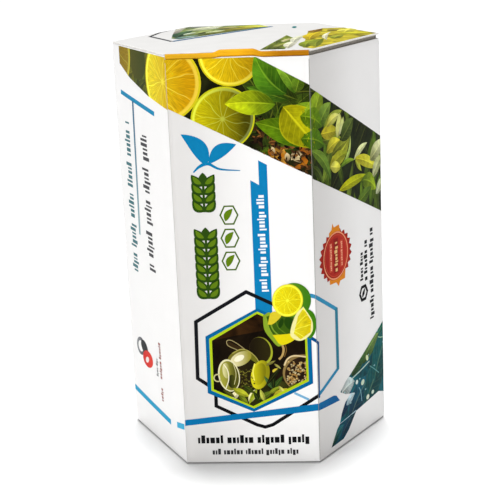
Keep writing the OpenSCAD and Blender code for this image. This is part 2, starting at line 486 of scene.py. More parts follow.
def lay(name, shapes, finish, windows=(None,), onto=fold, lines=tuple(round_lines)):
    """Lays shapes on the carton: trims them to each window (a convex outline), cuts them along the
    sheet's own lines, so that ink and board bend alike, and puts them in place with onto."""
    whole = bpy.data.meshes.new(name)
    offsets = np.cumsum([0] + [len(s[0]) for s in shapes[:-1]])
    whole.from_pydata(np.concatenate([s[0] for s in shapes]).tolist(), [],
                      [[i + start for i in face] for start, s in zip(offsets, shapes) for face in s[1]])
    corner = np.zeros(len(whole.loops), int)
    whole.loops.foreach_get("vertex_index", corner)
    place = np.concatenate([s[2] for s in shapes]).astype(np.float32)
    whole.uv_layers.new(name="print").data.foreach_set("uv", place[corner].ravel())
    inks = np.concatenate([s[3] for s in shapes]).astype(np.float32)
    colours = whole.color_attributes.new(name="ink", type="FLOAT_COLOR", domain="POINT")
    colours.data.foreach_set("color", inks.ravel())

    def cut(mesh, at, facing, drop=False):
        bmesh.ops.bisect_plane(mesh, geom=mesh.verts[:] + mesh.edges[:] + mesh.faces[:], dist=1e-5,
                               plane_co=(*at, 0), plane_no=(*facing, 0), clear_outer=drop)

    flat = bmesh.new()
    for window in windows:
        part = bmesh.new()
        part.from_mesh(whole)
        if window is not None:
            outline = np.array(window, float)
            following = np.roll(outline, -1, axis=0)
            area = np.sum(outline[:, 0] * following[:, 1] - outline[:, 1] * following[:, 0])
            for a, b in zip(outline, following):
                cut(part, a, np.array([b[1] - a[1], a[0] - b[0]]) * np.sign(area), drop=True)
        trimmed = bpy.data.meshes.new(name)
        part.to_mesh(trimmed)
        flat.from_mesh(trimmed)
        bpy.data.meshes.remove(trimmed)
        part.free()
    bmesh.ops.remove_doubles(flat, verts=flat.verts, dist=0.0004)
    spread = np.array([vert.co for vert in flat.verts])
    (left, bottom), (rightmost, top) = spread[:, :2].min(0), spread[:, :2].max(0)
    for line in lines:
        if left < line < rightmost:
            cut(flat, (line, 0), (1, 0))
    for line in np.arange(-12 * LATTICE, LID_TOP, LATTICE):
        if bottom < line < top:
            cut(flat, (0, line), (0, 1))
    flat.normal_update()
    bmesh.ops.reverse_faces(flat, faces=[f for f in flat.faces if f.normal.z < 0])
    flat.to_mesh(whole)
    flat.free()
    places = np.zeros(len(whole.vertices) * 3, np.float32)
    whole.vertices.foreach_get("co", places)
    places = onto(*places.reshape(-1, 3).T.astype(float))
    whole.vertices.foreach_set("co", (places / 1000).astype(np.float32).ravel())
    place_piece(name, whole, finish)


# Flat inks, whose strength wavers with a noise. Offset ink has the slight mottle of ink drying on a
# coated sheet. The soft greenery behind the leaves has out-of-focus patches 3 to 8 mm across, darker
# and lighter than the field's own colour.
flat_inks = []
for name, size, noise, wavers in (
        ("offset_printing_ink", 1.2, {"Detail": 4.0}, {"To Min": 0.78, "To Max": 0.94}),
        ("printed_soft_greenery", 7, {"Detail": 3.0, "Distortion": 0.8},
         {"From Min": 0.3, "From Max": 0.7, "To Min": 0.2, "To Max": 1.5})):
    finish, tree, shader, place = varnished_board(name, roughness=0.3)
    colour = add(tree, "VertexColor", layer_name="ink")
    mottle = add(tree, "TexNoise", {"Scale": 1000 / size, "Vector": place.outputs["Object"]} | noise)
    amount = add(tree, "MapRange", {"Value": mottle.outputs["Fac"]} | wavers)
    toned = add(tree, "VectorMath", {0: colour.outputs["Color"], "Scale": amount.outputs["Result"]},
                operation="SCALE")
    tree.links.new(toned.outputs[0], shader.inputs["Base Color"])
    flat_inks.append(finish)
offset_ink, picture_depth = flat_inks

# Printed leaf: pale midrib, side veins 8 to a leaf, one half in shade, a lit rim, and a darker stem
# end. s runs along the leaf and t across it.
leaf_print, tree, shader, place = varnished_board("printed_tea_leaf", roughness=0.3)
colour = add(tree, "VertexColor", layer_name="ink")
wrap = add(tree, "UVMap", uv_map="print")
axis = add(tree, "SeparateXYZ", {"Vector": wrap.outputs["UV"]})
offset = add(tree, "Math", {1: 0.5, 0: axis.outputs["Y"]}, operation="SUBTRACT")
aside = add(tree, "Math", {0: offset.outputs[0]}, operation="ABSOLUTE")
rib = add(tree, "MapRange", {"From Min": 0.012, "From Max": 0.045, "To Min": 1.0, "To Max": 0.0,
                             "Value": aside.outputs[0]})
rim = add(tree, "MapRange", {"From Min": 0.45, "From Max": 0.5, "To Max": 0.45, "Value": aside.outputs[0]})
slant = add(tree, "Math", {1: -0.55, 0: aside.outputs[0], 2: axis.outputs["X"]}, operation="MULTIPLY_ADD")
spaced = add(tree, "Math", {1: 8 * 2 * math.pi, 0: slant.outputs[0]}, operation="MULTIPLY")
waved = add(tree, "Math", {0: spaced.outputs[0]}, operation="COSINE")
veins = add(tree, "MapRange", {"From Min": 0.8, "From Max": 1.0, "To Min": 0.0, "To Max": 0.3,
                               "Value": waved.outputs[0]})
shade = add(tree, "MapRange", {"From Min": -0.08, "From Max": 0.08, "To Min": 0.62, "To Max": 0.96,
                               "Value": offset.outputs[0]})
mottle = add(tree, "TexNoise", {"Scale": 1000 / 2.2, "Detail": 4.0, "Vector": place.outputs["Object"]})
patchy = add(tree, "MapRange", {"From Min": 0.3, "From Max": 0.7, "To Min": 0.7, "To Max": 1.3,
                                "Value": mottle.outputs["Fac"]})
stem = add(tree, "MapRange", {"From Max": 0.6, "To Min": 0.6, "To Max": 1.08, "Value": axis.outputs["X"]})
amount = add(tree, "Math", {0: shade.outputs["Result"], 1: patchy.outputs["Result"]}, operation="MULTIPLY")
amount = add(tree, "Math", {0: amount.outputs[0], 1: stem.outputs["Result"]}, operation="MULTIPLY")
toned = add(tree, "VectorMath", {0: colour.outputs["Color"], "Scale": amount.outputs[0]}, operation="SCALE")
lines = add(tree, "Math", {0: rib.outputs["Result"], 1: veins.outputs["Result"]}, operation="MAXIMUM")
lines = add(tree, "Math", {0: lines.outputs[0], 1: rim.outputs["Result"]}, operation="MAXIMUM")
lines = add(tree, "Math", {1: 0.5, 0: lines.outputs[0]}, operation="MULTIPLY")
pale = add(tree, "VectorMath", {1: (1.7, 1.6, 1.6), 2: (0.12, 0.13, 0.01), 0: colour.outputs["Color"]},
           operation="MULTIPLY_ADD")
ink = add(tree, "Mix", {0: lines.outputs[0], 6: toned.outputs[0], 7: pale.outputs[0]}, data_type="RGBA")
tree.links.new(ink.outputs[2], shader.inputs["Base Color"])

# Printed citrus slice: ten wedges parted by pale skins, streaked pulp that runs outwards, and a
# pale pith ring inside the rind. s, t span the slice, with its middle at 0.5, 0.5.
citrus_print, tree, shader, place = varnished_board("printed_citrus_slice", roughness=0.28)
colour = add(tree, "VertexColor", layer_name="ink")
wrap = add(tree, "UVMap", uv_map="print")
centred = add(tree, "VectorMath", {1: (2, 2, 0), 2: (-1, -1, 0), 0: wrap.outputs["UV"]},
              operation="MULTIPLY_ADD")
axis = add(tree, "SeparateXYZ", {"Vector": centred.outputs[0]})
radius = add(tree, "VectorMath", {0: centred.outputs[0]}, operation="LENGTH")
angle = add(tree, "Math", {0: axis.outputs["Y"], 1: axis.outputs["X"]}, operation="ARCTAN2")
around = add(tree, "CombineXYZ", {"X": angle.outputs[0], "Y": radius.outputs["Value"]})
sway = add(tree, "TexNoise", {"Scale": 1.3, "Detail": 1.0, "Vector": centred.outputs[0]})
turned = add(tree, "Math", {1: 0.9, 0: sway.outputs["Fac"], 2: angle.outputs[0]}, operation="MULTIPLY_ADD")
wedge = add(tree, "Math", {1: 5.0, 0: turned.outputs[0]}, operation="MULTIPLY")
skin = add(tree, "Math", {0: wedge.outputs[0]}, operation="SINE")
skin = add(tree, "Math", {0: skin.outputs[0]}, operation="ABSOLUTE")
skin = add(tree, "Math", {0: skin.outputs[0], 1: radius.outputs["Value"]}, operation="MULTIPLY")
skin = add(tree, "MapRange", {"From Min": 0.02, "From Max": 0.08, "To Min": 1.0, "To Max": 0.0,
                              "Value": skin.outputs[0]})
stretch = add(tree, "VectorMath", {1: (9.0, 1.6, 1.0), 0: around.outputs[0]}, operation="MULTIPLY")
pulp = add(tree, "TexNoise", {"Scale": 2.4, "Detail": 5.0, "Distortion": 0.4, "Vector": stretch.outputs[0]})
streak = add(tree, "MapRange", {"From Min": 0.3, "From Max": 0.7, "To Min": 0.58, "To Max": 1.04,
                                "Value": pulp.outputs["Fac"]})
toned = add(tree, "VectorMath", {0: colour.outputs["Color"], "Scale": streak.outputs["Result"]},
            operation="SCALE")
pith = add(tree, "MapRange", {"From Min": 0.9, "From Max": 0.94, "Value": radius.outputs["Value"]})
heart = add(tree, "MapRange", {"From Min": 0.05, "From Max": 0.11, "To Min": 1.0, "To Max": 0.0,
                               "Value": radius.outputs["Value"]})
lines = add(tree, "Math", {0: skin.outputs["Result"], 1: heart.outputs["Result"]}, operation="MAXIMUM")
lines = add(tree, "Math", {1: 0.8, 0: lines.outputs[0]}, operation="MULTIPLY")
lines = add(tree, "Math", {0: lines.outputs[0], 1: pith.outputs["Result"]}, operation="MAXIMUM")
pale = add(tree, "VectorMath", {1: (1.0, 1.2, 1.8), 2: (0.1, 0.12, 0.04), 0: colour.outputs["Color"]},
           operation="MULTIPLY_ADD")
ink = add(tree, "Mix", {0: lines.outputs[0], 6: toned.outputs[0], 7: pale.outputs[0]}, data_type="RGBA")
tree.links.new(ink.outputs[2], shader.inputs["Base Color"])

# The picture's edges on the three walls that it crosses.
LEFT_PICTURE = [(-43.5, 151), (-43.5, 144.6), (-34, 140.2), (-17, 135.6), (0, 132.8), (0, 151)]
FRONT_PICTURE = [(0, 133.4), (50, 108), (50, 139.9), (31.5, 150.2), (0, 150.2)]
RIGHT_PICTURE = [(50, 107.4), (100, 84.4), (100, 113.5), (50, 139.3)]
band = [LEFT_PICTURE, FRONT_PICTURE, RIGHT_PICTURE]
lay("picture_greenery", [patch(LEFT_PICTURE, FIELD, "#465010"), patch(FRONT_PICTURE, FIELD, "#1a1c07"),
                         patch(RIGHT_PICTURE, FIELD, "#1a230a")], picture_depth)

# Citrus: a gold slice over the left crease, a dim one at the picture's left end, a yellow one at
# the top and two of lime below. Each row is centre, radii, ink, ink of the right side, lean.
slices = [
    ((-3.0, 142.3), (15.4, 14.3), "#f2dc1e", "#cf9a06", 0),
    ((-46.5, 149), (14, 14), "#6f5c02", "#957a02", 10),
    ((16.5, 118.5), (9, 9), "#7f7c0c", None, 30),
    ((22.6, 151.3), (10.9, 10.9), "#efca10", "#b58f08", 20),
    ((19.3, 129.2), (11.5, 10.9), "#c9bc0c", "#484404", 50),
]
rinds = []
fruit = []
for i, (centre, radii, ink, second, lean) in enumerate(slices):
    layer = 0.054 + 0.007 * i
    edge = "#c6c41a" if i in (2, 4) else "#d6c41a"
    rinds.append(disc(centre, radii, layer, edge, lean=lean))
    fruit.append(disc(centre, (radii[0] * 0.95, radii[1] * 0.95), layer + 0.003, ink, second, lean=lean))
lay("picture_citrus_rinds", rinds + [disc((-25.5, 147.5), (7.4, 7), 0.05, "#4c4c0a", "#3c440a")],
    offset_ink, band)
lay("picture_citrus_slices", fruit, citrus_print, band)


def strewn(count, corner, size, length, width, layer, inks, lean=(0, 180), seed=0.0, rows=9, columns=5):
    """Leaves or crumbs strewn over a box of the given size from its lower left corner: their
    places, sizes and turns are drawn from a seeded generator, so they look uneven and come out
    the same each run. lean gives the range of their turns in degrees."""
    draws = np.random.default_rng(round(seed * 100))
    strewn_shapes = []
    for i in range(count):
        a, b, c = draws.random(3)
        turn = math.radians(lean[0] + (lean[1] - lean[0]) * c)
        middle = np.array([corner[0] + size[0] * a, corner[1] + size[1] * b])
        reach = np.array([math.cos(turn), math.sin(turn)]) * length * (0.3 + 0.4 * ((a + c) % 1))
        strewn_shapes.append(leaf(
            middle - reach, middle + reach, width * (0.6 + 0.7 * ((b + c) % 1)), layer + 0.00008 * i,
            inks[i % len(inks)], inks[(i * 5 + 1) % len(inks)], bend=0.16 * (a - 0.5), rows=rows,
            columns=columns))
    return strewn_shapes


# Foliage behind the leaves, most of it dark, and crumbs of tea at the lower right of the front
# wall's picture.
FOLIAGE = ("#1b240a", "#26330c", "#35480f", "#4a6412", "#141c08")
BROWNS = ("#1e120a", "#3a2412", "#120b06", "#5a3a1c", "#2a1a0c", "#6a4020", "#442c14", "#1a1008", "#8f5c26")
lay("picture_foliage", strewn(34, (26, 116), (26, 26), 13, 6, 0.034, FOLIAGE, seed=0.2)
    + strewn(60, (48, 82), (54, 60), 15, 4.0, 0.036,
             ("#141c08", "#1b240a", "#26330c", "#0e1406", "#2c3c10"), lean=(40, 140), seed=0.5)
    + strewn(24, (52, 84), (48, 50), 18, 3.2, 0.042,
             ("#35480f", "#4a6412", "#2a3a10", "#5f7f1c", "#3c5a14", "#7f9a30"), lean=(55, 115),
             seed=0.35)
    + strewn(14, (-34, 134), (18, 18), 9, 4, 0.036, ("#4f520c", "#5f5f0e", "#37400a"), seed=0.1),
    leaf_print, band)
lay("picture_crumbs", strewn(420, (19, 106), (31, 26), 2.6, 0.9, 0.062, BROWNS, lean=(0, 360), seed=0.3,
                             rows=4, columns=3)
    + strewn(26, (35, 111), (13, 8), 4.2, 2.4, 0.066,
             ("#c07416", "#7a3c12", "#e0a038", "#3c1c0a", "#f0d8a0", "#241206"), lean=(0, 360),
             seed=0.7, rows=5, columns=3),
    offset_ink, [[(28.5, 118.8), (40, 113), (40, 122), (33.5, 129), (31, 131.5)],
                 [(40, 113), (50, 107.9), (50, 121), (40, 122)]])

# Tea leaves: each row is base, tip, width, ink at the base, ink at the tip, bow of the midrib.
leaves = [
    # fresh leaves on the front wall, from the back to the front of the picture
    ((42, 135.2), (28, 140), 4.6, "#2c4a0e", "#4f7a16", 0.0),
    ((41.5, 137.2), (31.2, 151), 9.6, "#2f5a10", "#5a8e16", 0.1),
    ((44.6, 137.4), (38, 147.2), 4.4, "#3c6212", "#7da52a", -0.1),
    ((44.8, 137.8), (46.6, 144), 4.4, "#5f7d1e", "#46660f", 0.0),
    ((37.6, 133.8), (20.2, 134.4), 8.6, "#5a8010", "#c4cc10", -0.03),
    ((49, 119.6), (30.5, 127.6), 8.8, "#2a5208", "#5f8008", -0.05),
    ((44.5, 133.4), (54, 124.5), 7.5, "#86a822", "#5f8a1c", 0.1),
    ((40.3, 133), (52, 118), 13.5, "#b8b20a", "#9c9c08", 0.0),
    # leaves and buds on the right wall
    ((49, 125), (57.5, 138.5), 9.5, "#8aa61e", "#7c961e", 0.0),
    ((55, 124.5), (63.5, 132), 6.5, "#4c6c18", "#7d9a3a", 0.08),
    ((46, 129.5), (57, 124.6), 8.0, "#6c8c0c", "#466a08", 0.1),
    ((46, 121.5), (58.2, 117.6), 7.6, "#5a800c", "#3c620a", 0.1),
    ((49.5, 117.3), (62.5, 104), 4.4, "#7a9c34", "#3c5a1a", 0.12),
    ((49, 112), (57, 103), 2.4, "#2c3c12", "#4c5f22", 0.14),
    ((57, 119.4), (70, 118.4), 4.0, "#5c6c1a", "#7a8a2a", 0.0),
    ((58, 123.2), (71, 128), 4.6, "#7f8c22", "#9aa83e", 0.05),
    ((56.3, 122), (68, 121.4), 5.2, "#d6c62c", "#84861c", 0.0),
    ((60, 123.8), (69.4, 126.6), 3.4, "#c8c43a", "#d2d47a", 0.1),
    ((67.2, 118.8), (69.3, 127.4), 4.6, "#d4d67e", "#c8cc70", -0.08),
    ((68.6, 119.6), (71.9, 125.6), 3.0, "#dfe2a4", "#aeb862", -0.1),
    ((59.6, 114.8), (69.2, 117.6), 5.0, "#a2a02a", "#dcd236", 0.08),
    ((62, 109.5), (76.6, 118.4), 7.0, "#c2bc2a", "#93a034", -0.06),
    ((63, 113), (75, 116.6), 3.6, "#5a5f18", "#8f962a", 0.05),
    ((61.8, 108.6), (74.6, 112), 4.6, "#b4ae26", "#76861e", 0.1),
    ((62.2, 109.2), (69.4, 107.6), 4.2, "#e6e464", "#c9c63a", 0.0),
    ((69.4, 108), (76.6, 118), 1.8, "#8fae4a", "#b9c86a", -0.2),
    ((68.5, 107.4), (79.4, 108.4), 1.9, "#587c1c", "#86a626", 0.1),
    ((80, 108.2), (84.4, 103.2), 2.0, "#c2c63e", "#94a02c", 0.0),
    ((79, 108.4), (89.2, 113), 2.8, "#dfe3a0", "#d3daa0", 0.08),
    ((79.6, 109), (97.5, 101.6), 4.6, "#d8d02a", "#c8c83e", 0.04),
    ((67.6, 99.2), (89, 100.9), 4.0, "#cccd14", "#869404", 0.03),
    ((91, 106), (102, 112), 6.5, "#a2a862", "#dcdfb0", 0.0),
    ((93, 99), (102, 106), 5, "#c9cf9a", "#a8b06a", 0.1),
    ((95.5, 92), (102, 98), 4, "#d0d8b0", "#9aa66a", 0.0),
    ((84, 99.6), (95.4, 94), 6.4, "#4c6a16", "#9ab41e", 0.12),
    ((80.5, 91.4), (92, 95.8), 5.0, "#5c7820", "#48641e", 0.0),
    ((69.8, 117.2), (79, 124), 7.0, "#3c4a1a", "#55682a", 0.0),
]
lay("picture_tea_leaves", overlapping(leaves, 0.1, 0.0009), leaf_print, band)


# ---------------------------------------------------------------------------------------------
# Front decoration: a blue sprout, a climbing branch of leaves, three small outlined emblems, a
# blue ribbon and two rows of plain blocks, printed in flat spot inks.
# ---------------------------------------------------------------------------------------------
def type_lines(start, length, height, ink, layer, turn=0.0, seed=0.0, weight=0.42, space=0.17):
    """A line of plain blocks that stands for small type, with no letter in it. Widths and heights
    follow two fixed sequences of steps, with a wider space after every sixth block, so that they
    look uneven and are the same each run."""
    i = np.arange(int(length / height * 6) + 4)
    draw, other = (i * 0.618034 + seed) % 1, (i * 0.754878 + seed * 3) % 1
    width = height * weight * (0.55 + 0.8 * draw)
    apart = height * np.where((i + 1 + int(seed * 7)) % 6 == 0, 0.5, space)
    left = np.cumsum(width + apart) - width - apart
    kept = left + width < length
    left, right = left[kept], (left + width)[kept]
    top = height * np.where(other[kept] < 0.3, 1.0, 0.72)
    foot = height * np.where(other[kept] > 0.88, -0.22, 0.0)
    x, y = np.stack([left, right, right, left], 1).ravel(), np.stack([foot, foot, top, top], 1).ravel()
    turn = math.radians(turn)
    place = np.column_stack([start[0] + x * math.cos(turn) - y * math.sin(turn),
                             start[1] + x * math.sin(turn) + y * math.cos(turn), np.full(len(x), layer)])
    blocks = np.arange(len(x)).reshape(-1, 4).tolist()
    return place, blocks, place[:, :2] / 100, np.tile(linear(ink), (len(x), 1))


def hexagon(centre, radius, stretch=1.0, first=90):
    """Corners of a regular hexagon, stretched upright; first is the angle of its first corner."""
    angle = np.radians(first + np.arange(6) * 60)
    return np.column_stack([centre[0] + radius * np.cos(angle),
                            centre[1] + radius * stretch * np.sin(angle)])


sprout_blue = "#0c7db0"
BRANCH_GREEN = "#2c4a10"
LEAF_GREEN = "#5f7f14"
RULE_BLUE = "#04649a"
sprout = [stroke(curve([(8.2, 110.6), (10.4, 112.6), (13.4, 113.6), (17.5, 111.6), (24.6, 110.9)]),
                 np.interp(
              np.arange(25), [0, 10, 24], [0.5, 1.3, 0.3]), FIELD, sprout_blue),
          leaf((13.2, 113.2), (4.4, 124.2), 5.6, 0.034, sprout_blue, bend=-0.12, belly=0.42),
          leaf((13.6, 113.4), (23.6, 120.2), 4.6, 0.036, sprout_blue, bend=0.12, belly=0.5)]
branch = []
for first, last in ((64.2, 90.4), (96.2, 110.2)):
    branch.append(stroke([(11.4, first), (11.4, last - 1.5)], 0.9, FIELD, BRANCH_GREEN))
    for v in np.arange(first + 0.2, last - 4.0, 3.1):
        for side in (-1, 1):
            branch.append(leaf((11.4, v), (11.4 + side * 4.1, v + 4.1), 3.3, 0.034, BRANCH_GREEN,
                               bend=-side * 0.1))
            branch.append(leaf((11.4 + side * 0.7, v + 0.7), (11.4 + side * 3.5, v + 3.5), 1.7, 0.038,
                               LEAF_GREEN, bend=-side * 0.1))
    branch.append(leaf((11.4, last - 4.2), (11.4, last + 0.3), 3.2, 0.036, BRANCH_GREEN))
emblems = []
for v in (78.2, 86.6, 95.0):
    emblems.append(stroke(hexagon((20, v), 3.1, 1.2, first=60), 0.55, FIELD, "#4d6a12", closed=True))
    emblems.append(leaf((18.6, v - 2.2), (21.4, v + 2.3), 2.3, FIELD, LEAF_GREEN, bend=0.1))
ribbon = [patch([(28, 57), (31, 57), (31, 105.6), (28, 107.4)], FIELD, "#0d7eb6"),
          patch([(31, 57), (34, 57), (34, 112.7), (31, 114.4)], FIELD, "#0d7eb6"),
          type_lines((32.5, 66.6), 36.5, 2.6, "#f6f8fa", 0.036, turn=90, seed=0.3, weight=0.32, space=0.18)]
captions = [type_lines((4.8, 8.2), 42, 3.2, "#17181a", FIELD, seed=0.11, weight=0.4, space=0.13),
            type_lines((10, 3.7), 33, 2.3, "#3a3a3c", FIELD, seed=0.52, weight=0.38, space=0.14)]
lay("front_decoration", sprout + branch + emblems + ribbon + captions, offset_ink)

# Long blue bar that runs low round the left, front and right walls.
low_bar = [patch([(0, 15.2), (24, 18.0), (50, 20.7), (50, 23.4), (0, 17.5)], 0.05, "#0972aa"),
           patch([(50, 20.6), (65.2, 19.4), (62.6, 22.2), (60.8, 22.8), (50, 23.4)], 0.05, "#085c97"),
           patch([(-50, 13.4), (-13.5, 10.9), (-13.5, 13.1), (-50, 15.6)], 0.05, "#1aa2cb"),
           patch([(-7.6, 12.0), (-0.9, 13.4), (-0.9, 15.7), (-7.6, 14.3)], 0.05, "#3fb0d8")]
lay("low_blue_bar", low_bar, offset_ink)


# ---------------------------------------------------------------------------------------------
# Hexagon frames: black and blue rules that overlap round a dark picture of a glass teapot, cup
# and herbs, with cut limes over its upper corner. All are inks on the coated sheet.
# ---------------------------------------------------------------------------------------------
rules = [
    stroke([(13, 28.8), (5.9, 33.9), (6.3, 55.6), (24.9, 66.6), (38, 60)], 1.35, 0.04, "#15161a"),
    stroke([(12.3, 30), (12.2, 23), (27, 15.4), (29.9, 14.5), (32.8, 15.4), (50.6, 27)], 1.3, 0.04,
           "#121316"),
    stroke([(41, 27.7), (46.2, 25)], 0.9, 0.036, "#7cb6da"),
    stroke([(47.4, 48.9), (51.1, 46.4), (50.8, 25.4)], 1.2, 0.044, "#0b4c86"),
    stroke([(47.6, 64.8), (50.6, 63.9), (64.3, 55.4)], 1.5, 0.04, "#3590b8"),
    stroke([(64.0, 56.0), (64.2, 32.0)], 2.0, 0.044, "#2f7f98"),
    stroke([(64.8, 32.6), (51, 26.8)], 1.5, 0.04, "#2f86b0"),
]
FRAME = [(28.7, 60.4), (9.5, 50), (9.3, 28.1), (26, 20.6), (47.9, 31.3), (47.7, 50)]
LIME_LINE = [(28.6, 59.2), (10.8, 49.1), (10.7, 29.1), (26.1, 21.9), (46.4, 32.2), (46.2, 50.1)]
TEAPOT_PICTURE = [(28.5, 58.3), (11.8, 48.4), (11.6, 29.6), (25.8, 22.8), (45.6, 33), (45.4, 50)]
rules += [patch(FRAME, 0.054, RULE_BLUE), patch(LIME_LINE, 0.058, "#b3cd1c")]
lay("hexagon_rules", rules, offset_ink)

lay("teapot_picture_ground", [patch(TEAPOT_PICTURE, 0.062, "#150d05"),
                              patch([(28.5, 58.3), (11.8, 48.4), (20, 50.1), (31, 52), (34, 55.5)],
                                    0.064, "#301c08"),
                              disc((30, 27), (12, 5), 0.064, "#2c2c0c", lean=12)],
    picture_depth, [TEAPOT_PICTURE])
glass = "#a39563"
teapot = [
    stroke(curve([(25.2, 42.6), (22.5, 44.6), (19.5, 46.2), (17.4, 47.4)]), [1.5] * 18 + [1.3], 0.066,
           "#33240f"),
    stroke(curve([(25.0, 43.6), (21.6, 46.6), (18.8, 48.4), (17.2, 48.2), (17.6, 46.4), (21, 44.6),
                  (24.6, 42.4)]), 0.28, 0.068, glass),  # spout
    disc((29.4, 44.2), (4.2, 5.4), 0.068, "#4a3a20", "#a2a82c", lean=12),  # cup
    disc((29.1, 44.5), (3.8, 4.9), 0.071, "#1c1508", "#2c260c", lean=12),
    stroke(curve([(25.4, 43), (27.4, 40.6), (29.6, 39.2), (32.4, 40.4), (33.4, 44)]), 0.5, 0.074,
           "#a5ad2c"),
    disc((22.9, 37.2), (6.3, 7.7), 0.077, "#77702a", "#6a6a1a", lean=14),  # pot body
    disc((23.2, 35.6), (5.6, 6.0), 0.08, "#2c200c", "#1c1a08", lean=14),  # dark brew in it
    disc((22.0, 41.3), (4.2, 2.5), 0.083, "#e6dca8", "#9c9434", lean=28),  # light on its shoulder
    disc((21.4, 41.5), (2.0, 1.1), 0.086, "#f7f1d2", lean=28),
    stroke(curve([(19.0, 43.4), (22.5, 45.0), (26, 43.4), (28.6, 39.6), (29, 34), (26.6, 30)]), 0.3,
           0.089, "#b0a654"),
    disc((28.8, 35.0), (3.3, 5.7), 0.09, "#d9d01e", "#8f8a12", lean=-14),  # lemon slice
    disc((28.6, 35.3), (2.2, 4.3), 0.092, "#c2b914", "#7f7a0e", lean=-14),
    stroke(curve([(27.0, 39.4), (26.2, 36.4), (26.6, 32.8)]), 0.5, 0.094, "#f2ea5c"),
    disc((13.2, 34.0), (1.55, 1.6), 0.094, "#c9c08a", inner=0.7),  # knob
    disc((17.4, 34.9), (3.9, 6.3), 0.094, "#e8e2b4", lean=8),  # lid
    disc((17.5, 34.8), (3.45, 5.75), 0.096, "#a3a03c", "#4f4e18", lean=8),
    disc((16.5, 36.8), (1.4, 3.0), 0.098, "#dcd79a", "#8f8c34", lean=4),
    disc((18.4, 32.6), (1.5, 2.6), 0.098, "#22220a", "#4a4c14"),
    stroke(curve([(15.6, 39.4), (17.0, 36.8), (17.2, 33.2), (16.0, 29.8)]), 0.35, 0.1, "#f4efca"),
    stroke(curve([(19.2, 39.4), (20.0, 35.4), (19.2, 31.4)]), 0.25, 0.1, "#cfc88a"),
    stroke(curve([(37.0, 46.8), (37.6, 44.6), (37.0, 42.2), (35.8, 40.8)]), 0.8, 0.078, "#b9985a"),
    stroke(curve([(38.1, 46.8), (38.6, 44.4), (37.8, 41.8)]), 0.3, 0.08, "#7c5c2c"),
    disc((44.6, 35.4), (7.6, 7.2), 0.078, "#8f7644", "#5c4826"),  # bowl
    disc((44.9, 35.0), (7.1, 6.7), 0.081, "#2c1c0e", "#1c1208"),
    stroke(curve([(37.6, 38.4), (38.9, 40.9), (41.4, 42.1), (45.6, 41.6)]), 0.6, 0.084, "#e0c896"),
    disc((34.4, 36.6), (1.2, 0.7), 0.086, "#d8c23a", lean=20),
]
# Dried herbs in the bowl and in the glass pot's brew.
teapot += strewn(90, (38.6, 31.2), (7, 8.6), 0.9, 0.8, 0.088,
                 ("#e8c880", "#5c3c1a", "#b98c4a", "#2a1a0c", "#f0dca4", "#8f6a34"),
                 lean=(0, 360), seed=0.4, rows=4, columns=3)
teapot += strewn(70, (19.6, 29.6), (7, 8), 0.9, 0.6, 0.088,
                 ("#5c5a1a", "#15120a", "#8f8a34", "#3d3410"), lean=(0, 360),
                 seed=0.9, rows=4, columns=3)
lay("teapot_picture_things", teapot, offset_ink, [TEAPOT_PICTURE])
# Herbs below the pot and between the lemon and the bowl: each row is base, tip, width, ink.
herbs = [
    ((18.2, 25.6), (20.6, 29), 2.4, "#e8e0b0"), ((15, 29.4), (19.4, 26.2), 1.6, "#4a4c18"),
    ((18.6, 29.8), (24.6, 26.6), 2.6, "#a9ad28"), ((24.4, 24.2), (26.8, 29.4), 2.4, "#d9d49a"),
    ((20.8, 27.2), (24, 23.8), 1.8, "#6c7a1c"), ((27.4, 29.6), (24.2, 23.6), 1.6, "#93a024"),
    ((28.4, 24), (26.2, 28.6), 1.8, "#1c2a0a"), ((28, 25.4), (33, 28.6), 2.2, "#55681a"),
    ((30, 24.6), (28.6, 29.4), 1.6, "#b5b84a"), ((33.4, 29.6), (37, 34.4), 1.7, "#2c4a1a"),
    ((33.2, 29.4), (30.2, 34.6), 1.5, "#35562a"), ((33.4, 29.2), (33.6, 35.6), 1.5, "#14240c"),
    ((33.2, 26.4), (38.6, 29.6), 2.4, "#b3a62a"), ((31.6, 27.6), (36, 30.4), 1.6, "#7c8a1e"),
    ((38, 28), (42.4, 31.6), 2.0, "#4f4a16"), ((30.8, 31), (36.6, 38.2), 1.6, "#14180a"),
    ((31, 38.6), (34.6, 40.4), 1.0, "#7f7a3a"), ((34, 39.2), (36.4, 37.2), 0.9, "#9a9448"),
    ((22.4, 31), (26.6, 27.8), 1.7, "#32400e"), ((35.4, 30.6), (38, 26.6), 1.4, "#c2c05a"),
]
lay("teapot_picture_herbs", overlapping(herbs, 0.104, 0.0008), leaf_print, [TEAPOT_PICTURE])

